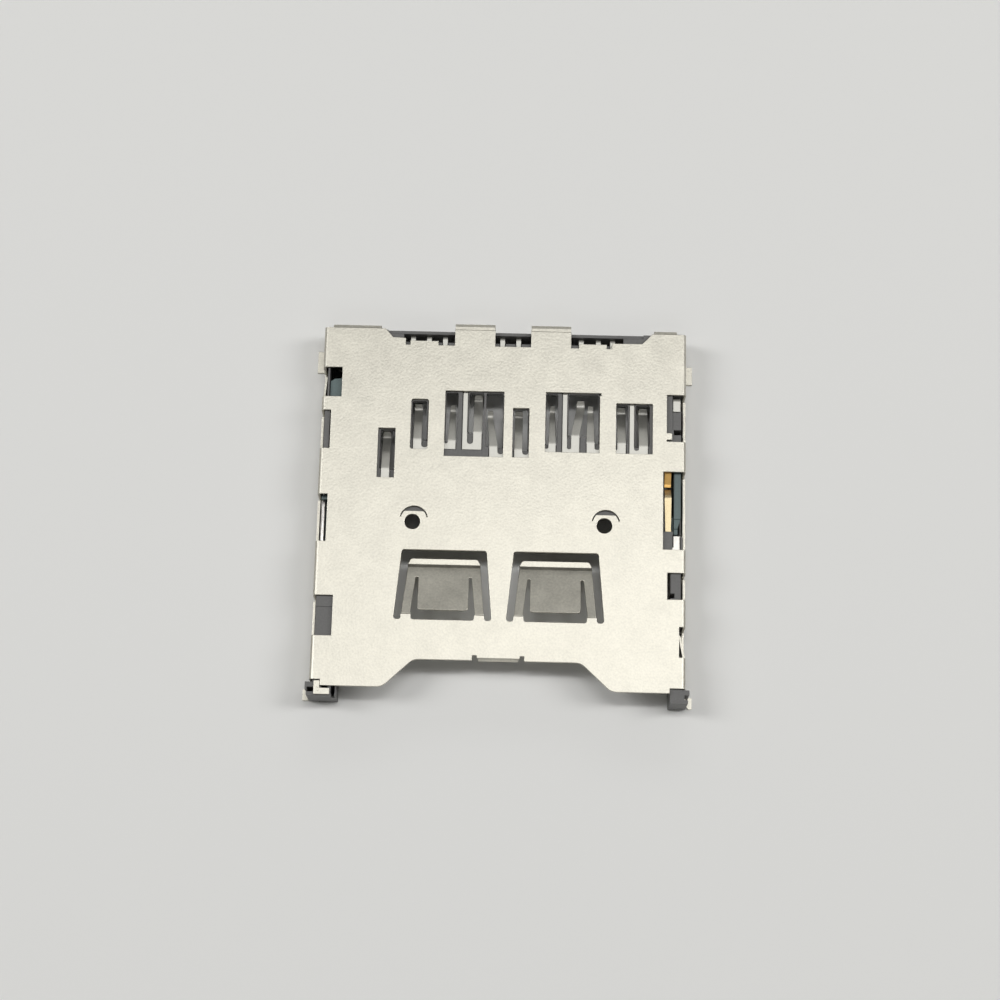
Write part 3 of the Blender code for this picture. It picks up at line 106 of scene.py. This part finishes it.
def makeCamera():
    tilt = math.radians(studio["tilt"])
    turn = Matrix.Rotation(math.radians(studio["turn"]), 3, "Z")
    x, y, z = studio["target"]
    away = studio["distance"]
    place = Vector((x, y - away * math.sin(tilt), z + away * math.cos(tilt)))
    camera = bpy.data.objects.new("photoCamera", bpy.data.cameras.new("photoCamera"))
    bpy.context.scene.collection.objects.link(camera)
    side = turn @ Vector((1, 0, 0))
    up = turn @ Vector((0, math.cos(tilt), math.sin(tilt)))
    back = side.cross(up)
    spot = (turn @ place + Vector((0, studio["shift"], 0))) * mm
    camera.matrix_world = Matrix((
        (side.x, up.x, back.x, spot.x),
        (side.y, up.y, back.y, spot.y),
        (side.z, up.z, back.z, spot.z),
        (0, 0, 0, 1),
    ))
    camera.data.sensor_width = studio["sensor"]
    camera.data.lens = studio["focal"] / 1000 * studio["sensor"]
    camera.data.clip_start = studio["nearest"]
    bpy.context.scene.camera = camera


def makeTable():
    half = studio["tableSize"] / 2
    mesh = bpy.data.meshes.new("table")
    corners = [(-half, -half, 0), (half, -half, 0), (half, half, 0), (-half, half, 0)]
    mesh.from_pydata(corners, [], [(0, 1, 2, 3)])
    table = bpy.data.objects.new("table", mesh)
    bpy.context.scene.collection.objects.link(table)
    finish = bpy.data.materials.new("tableTop")
    finish.use_nodes = True
    shader = finish.node_tree.nodes["Principled BSDF"]
    shader.inputs["Base Color"].default_value = (*studio["tableColour"], 1)
    shader.inputs["Roughness"].default_value = studio["tableRoughness"]
    shader.inputs["Specular IOR Level"].default_value = studio["tableSpecular"]
    mesh.materials.append(finish)


def makeLamps():
    for name, lamp in lamps.items():
        light = bpy.data.lights.new(name, "AREA")
        light.shape = "ELLIPSE"
        light.size, light.size_y = lamp["size"]
        distance = lamp["distance"]
        light.energy = lamp["level"] * math.pi ** 2 * distance ** 2
        made = bpy.data.objects.new(name, light)
        bpy.context.scene.collection.objects.link(made)
        rear = math.tan(math.radians(lamp["rear"]))
        right = math.tan(math.radians(lamp["right"]))
        towards = Vector((right, rear, 1)).normalized()
        across = Vector((0, 1, 0)).cross(towards).normalized()
        turn = Matrix((across, towards.cross(across), towards)).transposed()
        made.matrix_world = Matrix.Translation(towards * distance) @ turn.to_4x4()
    world = bpy.data.worlds.new("room")
    world.use_nodes = True
    sky = world.node_tree.nodes["Background"]
    sky.inputs["Color"].default_value = (*studio["roomColour"], 1)
    sky.inputs["Strength"].default_value = studio["roomStrength"]
    bpy.context.scene.world = world


makeCamera()
makeTable()
makeLamps()
bpy.context.scene.view_settings.view_transform = "Standard"
print("studio done")


# Materials

# shade is the share by which spots are lighter or darker, roughness a range,
# grain and blotch are noise scales per metre, bump in mm
finishes = {
    "platedSheet": {
        "colour": (0.60, 0.578, 0.505), "shade": 0.13, "metallic": 1.0, "roughness": (0.415, 0.455),
        "grain": 6500, "blotch": 600, "bump": 0.010,
    },
    "contactStrip": {
        "colour": (0.66, 0.65, 0.60), "shade": 0.06, "metallic": 1.0, "roughness": (0.51, 0.58),
        "grain": 5200, "blotch": 700, "bump": 0.005,
    },
    "springWire": {
        "colour": (0.62, 0.60, 0.57), "shade": 0.05, "metallic": 1.0, "roughness": (0.30, 0.40),
        "grain": 6000, "blotch": 600, "bump": 0.002,
    },
    "goldPlating": {
        "colour": (0.65, 0.54, 0.34), "shade": 0.07, "metallic": 1.0, "roughness": (0.38, 0.46),
        "grain": 5200, "blotch": 700, "bump": 0.006,
        "platedFrom": -1.6, "bare": (0.62, 0.60, 0.56),  # mm along the part, colour in front of it
    },
    "deepGold": {
        "colour": (0.95, 0.60, 0.21), "shade": 0.05, "metallic": 1.0, "roughness": (0.48, 0.56),
        "grain": 5200, "blotch": 700, "bump": 0.005,
    },
    "blackResin": {
        "colour": (0.14, 0.138, 0.134), "shade": 0.16, "metallic": 0.0, "roughness": (0.46, 0.60),
        "grain": 7000, "blotch": 500, "bump": 0.005,
    },
    "tealResin": {
        "colour": (0.108, 0.149, 0.147), "shade": 0.16, "metallic": 0.0, "roughness": (0.42, 0.55),
        "grain": 7000, "blotch": 500, "bump": 0.004,
    },
}
noise = {
    "grainDetail": 3.0,
    "blotchDetail": 4.0,
    "blotchRoughness": 0.65,
    "spots": (0.35, 0.65),  # noise values at the ends of the colour and roughness ranges
}


def makeFinish(name):
    facts = finishes[name]
    finish = bpy.data.materials.new(name)
    finish.use_nodes = True
    tree = finish.node_tree
    shader = tree.nodes["Principled BSDF"]
    shader.inputs["Metallic"].default_value = facts["metallic"]

    def add(kind, **settings):
        made = tree.nodes.new(kind)
        for key, value in settings.items():
            setattr(made, key, value)
        return made

    place = add("ShaderNodeTexCoord")
    grain = add("ShaderNodeTexNoise")
    grain.inputs["Scale"].default_value = facts["grain"]
    grain.inputs["Detail"].default_value = noise["grainDetail"]
    blotch = add("ShaderNodeTexNoise")
    blotch.inputs["Scale"].default_value = facts["blotch"]
    blotch.inputs["Detail"].default_value = noise["blotchDetail"]
    blotch.inputs["Roughness"].default_value = noise["blotchRoughness"]
    for texture in (grain, blotch):
        tree.links.new(place.outputs["Object"], texture.inputs["Vector"])
    # both is the mean of the two noises
    half = add("ShaderNodeMath", operation="MULTIPLY")
    half.inputs[1].default_value = 0.5
    tree.links.new(grain.outputs["Fac"], half.inputs[0])
    both = add("ShaderNodeMath", operation="MULTIPLY_ADD")
    both.inputs[1].default_value = 0.5
    tree.links.new(blotch.outputs["Fac"], both.inputs[0])
    tree.links.new(half.outputs[0], both.inputs[2])

    ramp = add("ShaderNodeValToRGB")
    dark = [part * (1 - facts["shade"]) for part in facts["colour"]]
    light = [min(1.0, part * (1 + facts["shade"])) for part in facts["colour"]]
    for stop, position, shade in zip(ramp.color_ramp.elements, noise["spots"], (dark, light)):
        stop.position = position
        stop.color = (*shade, 1)
    tree.links.new(both.outputs[0], ramp.inputs["Fac"])
    colour = ramp.outputs["Color"]
    if "platedFrom" in facts:
        axes = add("ShaderNodeSeparateXYZ")
        plated = add("ShaderNodeMath", operation="GREATER_THAN")
        cover = add("ShaderNodeMix", data_type="RGBA")
        bareColour, platedColour = [socket for socket in cover.inputs if socket.type == "RGBA"]
        plated.inputs[1].default_value = facts["platedFrom"] * mm
        bareColour.default_value = (*facts["bare"], 1)
        tree.links.new(place.outputs["Object"], axes.inputs["Vector"])
        tree.links.new(axes.outputs["Y"], plated.inputs[0])
        tree.links.new(plated.outputs[0], cover.inputs["Factor"])
        tree.links.new(colour, platedColour)
        colour = next(socket for socket in cover.outputs if socket.type == "RGBA")
    tree.links.new(colour, shader.inputs["Base Color"])

    spread = add("ShaderNodeMapRange")
    for side, span in (("From", noise["spots"]), ("To", facts["roughness"])):
        spread.inputs[side + " Min"].default_value = span[0]
        spread.inputs[side + " Max"].default_value = span[1]
    tree.links.new(both.outputs[0], spread.inputs["Value"])
    tree.links.new(spread.outputs["Result"], shader.inputs["Roughness"])

    bump = add("ShaderNodeBump")
    bump.inputs["Strength"].default_value = 1.0
    bump.inputs["Distance"].default_value = facts["bump"] * mm
    tree.links.new(grain.outputs["Fac"], bump.inputs["Height"])
    tree.links.new(bump.outputs["Normal"], shader.inputs["Normal"])
    return finish


finishOf = {name: makeFinish(name) for name in finishes}
print("finishes done")


# Stamped and moulded pieces: merged copies of the CAD nodes with broken edges

# by node: finish, slot in the record and width of the broken edges in mm
# nodes that aren't here wear contactWear
wears = {
    "cover_shell": ("platedSheet", "plated_steel", 0.025),
    "housing": ("blackResin", "black_plastic", 0.02),
    "solder_clip_left": ("platedSheet", "plated_steel", 0.02),
    "solder_clip_right": ("platedSheet", "plated_steel", 0.02),
    "write_protect_spring": ("goldPlating", "gold_plate", 0.02),
    "write_protect_terminal": ("deepGold", "gold_plate", 0.02),
    "detect_lever": ("tealResin", "teal_plastic", 0.03),
    "eject_slider": ("tealResin", "teal_plastic", 0.03),
}
contactWear = ("contactStrip", "contact_metal", 0.02)
wireNodes = ("eject_spring", "cam_pin")
edges = {
    "merge": 1e-7,  # m, distance up to which points are one
    "flat": 0.5,  # degrees up to which triangles join in one flat face
    "broken": 35,  # degrees between faces from which an edge is broken
    "segments": 2,
}
bends = {
    "least": 0.02,  # radians between faces, up to which they aren't a bend
    "most": 31,  # degrees up to which narrow faces shade as one bend
    "width": 0.2,  # mm, widest face of a bend
    "share": 0.8,  # of a face's longest edge: shorter edges end a bend
}


def plainMesh(made, name):
    depsgraph = bpy.context.evaluated_depsgraph_get()
    mesh = bpy.data.meshes.new_from_object(made.evaluated_get(depsgraph))
    piece = bpy.data.objects.new(name, mesh)
    bpy.context.scene.collection.objects.link(piece)
    bpy.data.objects.remove(made, do_unlink=True)
    return piece


def smoothBends(mesh):
    shape = bmesh.new()
    shape.from_mesh(mesh)
    most = math.radians(bends["most"])
    longest = {}
    for face in shape.faces:
        longest[face] = max(edge.calc_length() for edge in face.edges)
        narrow = face.calc_area() < longest[face] * bends["width"] * mm
        angles = [edge.calc_face_angle(0.0) for edge in face.edges]
        face.smooth = narrow and any(bends["least"] < angle < most for angle in angles)
    for edge in shape.edges:
        along = all(edge.calc_length() > bends["share"] * longest[face] for face in edge.link_faces)
        edge.smooth = along and edge.calc_face_angle(0.0) < most
    shape.to_mesh(mesh)
    shape.free()


def settle(piece, node):
    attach(piece, body_of(nodes[node])[0])
    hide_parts(node)


def brokenEdges(name):
    finish, slot, width = wears.get(name, contactWear)
    mesh = nodes[name].data.copy()
    mesh.transform(nodes[name].matrix_world)
    shape = bmesh.new()
    shape.from_mesh(mesh)
    bmesh.ops.remove_doubles(shape, verts=shape.verts[:], dist=edges["merge"])
    flat = math.radians(edges["flat"])
    bmesh.ops.dissolve_limit(shape, angle_limit=flat, verts=shape.verts[:], edges=shape.edges[:])
    shape.to_mesh(mesh)
    shape.free()
    mesh.materials.clear()
    mesh.materials.append(finishOf[finish])
    made = bpy.data.objects.new(name + "Blank", mesh)
    bpy.context.scene.collection.objects.link(made)
    bevel = made.modifiers.new("edges", "BEVEL")
    bevel.width = width * mm
    bevel.segments = edges["segments"]
    bevel.limit_method = "ANGLE"
    bevel.angle_limit = math.radians(edges["broken"])
    bevel.use_clamp_overlap = False
    piece = plainMesh(made, name + "Finished")
    smoothBends(piece.data)
    settle(piece, name)


for name in nodes:
    if name not in wireNodes:
        brokenEdges(name)
print("edges done")


# Wires: a round section led along a path by Geometry Nodes

# sizes in mm, in the frame's axes; wire is the wire's radius and bend that of a rounded corner
coil = {
    "across": -12.35, "height": 0.73, "front": 2.455, "rear": 13.215, "radius": 0.33,
    "turns": 14, "closedTurns": 1.5,  # in all, and at each end
    "closedPitch": 2.1,  # times the wire's radius
    "travel": 3.3,  # how much shorter it gets
    "wire": 0.07, "bend": 0.0, "sides": 12, "stepsPerTurn": 28,
}
# the wire is thinner than the solid's 0.2, to clear the groove's front end at full travel
pin = {"tip": 1.59, "wire": 0.165, "bend": 0.28, "sides": 24}
cornerSteps = 10


def wireTree():
    tree = bpy.data.node_groups.new("wireAlongPath", "GeometryNodeTree")
    tree.is_modifier = True
    for label, kind in (
        ("Path", "Geometry"),
        ("Radius", "Float"),
        ("Bend", "Float"),
        ("Sides", "Int"),
        ("Finish", "Material"),
    ):
        tree.interface.new_socket(label, in_out="INPUT", socket_type="NodeSocket" + kind)
    tree.interface.new_socket("Wire", in_out="OUTPUT", socket_type="NodeSocketGeometry")

    def add(kind):
        return tree.nodes.new("GeometryNode" + kind)

    given = tree.nodes.new("NodeGroupInput")
    result = tree.nodes.new("NodeGroupOutput")
    path = add("MeshToCurve")
    corners = add("FilletCurve")
    section = add("CurvePrimitiveCircle")
    sweep = add("CurveToMesh")
    smooth = add("SetShadeSmooth")
    real = add("RealizeInstances")
    look = add("SetMaterial")
    corners.mode = "POLY"
    corners.inputs["Count"].default_value = cornerSteps
    sweep.inputs["Fill Caps"].default_value = True
    for start, end in (
        (given.outputs["Path"], path.inputs["Mesh"]),
        (path.outputs["Curve"], corners.inputs["Curve"]),
        (given.outputs["Bend"], corners.inputs["Radius"]),
        (corners.outputs["Curve"], sweep.inputs["Curve"]),
        (given.outputs["Sides"], section.inputs["Resolution"]),
        (given.outputs["Radius"], section.inputs["Radius"]),
        (section.outputs["Curve"], sweep.inputs["Profile Curve"]),
        (sweep.outputs["Mesh"], smooth.inputs["Geometry"]),
        (smooth.outputs["Geometry"], real.inputs["Geometry"]),
        (real.outputs["Geometry"], look.inputs["Geometry"]),
        (given.outputs["Finish"], look.inputs["Material"]),
        (look.outputs["Geometry"], result.inputs["Wire"]),
    ):
        tree.links.new(start, end)
    return tree


def wirePiece(name, points, facts, tree):
    mesh = bpy.data.meshes.new(name + "Path")
    links = [(index, index + 1) for index in range(len(points) - 1)]
    mesh.from_pydata([Vector(point) * mm for point in points], links, [])
    made = bpy.data.objects.new(name + "Path", mesh)
    bpy.context.scene.collection.objects.link(made)
    wire = made.modifiers.new("wire", "NODES")
    wire.node_group = tree
    given = {
        "Radius": facts["wire"] * mm,
        "Bend": facts["bend"] * mm,
        "Sides": facts["sides"],
        "Finish": finishOf["springWire"],
    }
    for item in tree.interface.items_tree:
        if item.in_out == "INPUT" and item.name in given:
            wire[item.identifier] = given[item.name]
    return plainMesh(made, name)


coilLength = coil["rear"] - coil["front"]


def coilPath():
    pitch = coil["closedPitch"] * coil["wire"]
    closed = coil["closedTurns"]
    turns = coil["turns"]
    inside = coilLength - 2 * coil["wire"]
    opened = (inside - 2 * closed * pitch) / (turns - 2 * closed)
    points = []
    for step in range(turns * coil["stepsPerTurn"] + 1):
        turn = step / coil["stepsPerTurn"]
        along = min(turn, closed) * pitch
        along += max(0.0, min(turn, turns - closed) - closed) * opened
        along += max(0.0, turn - turns + closed) * pitch
        angle = 2 * math.pi * turn
        points.append((
            coil["across"] + coil["radius"] * math.cos(angle),
            coil["front"] + coil["wire"] + along,
            coil["height"] + coil["radius"] * math.sin(angle),
        ))
    return points


def pinPath():
    solid = nodes["cam_pin"]
    corners = [solid.matrix_world @ Vector(corner) for corner in solid.bound_box]
    low = [min(corner[axis] for corner in corners) / mm for axis in range(3)]
    high = [max(corner[axis] for corner in corners) / mm for axis in range(3)]
    across = (low[0] + high[0]) / 2
    front = low[1] + pin["wire"]
    rear = high[1] - pin["wire"]
    top = high[2] - pin["wire"]
    bent = ((front, low[2]), (front, top), (rear, top), (rear, pin["tip"]))
    return [(across, along, height) for along, height in bent]


tree = wireTree()
spring = wirePiece("coilSpring", coilPath(), coil, tree)
settle(spring, "eject_spring")
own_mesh(spring)
camWire = wirePiece("camWire", pinPath(), pin, tree)
settle(camWire, "cam_pin")
print("wires done")
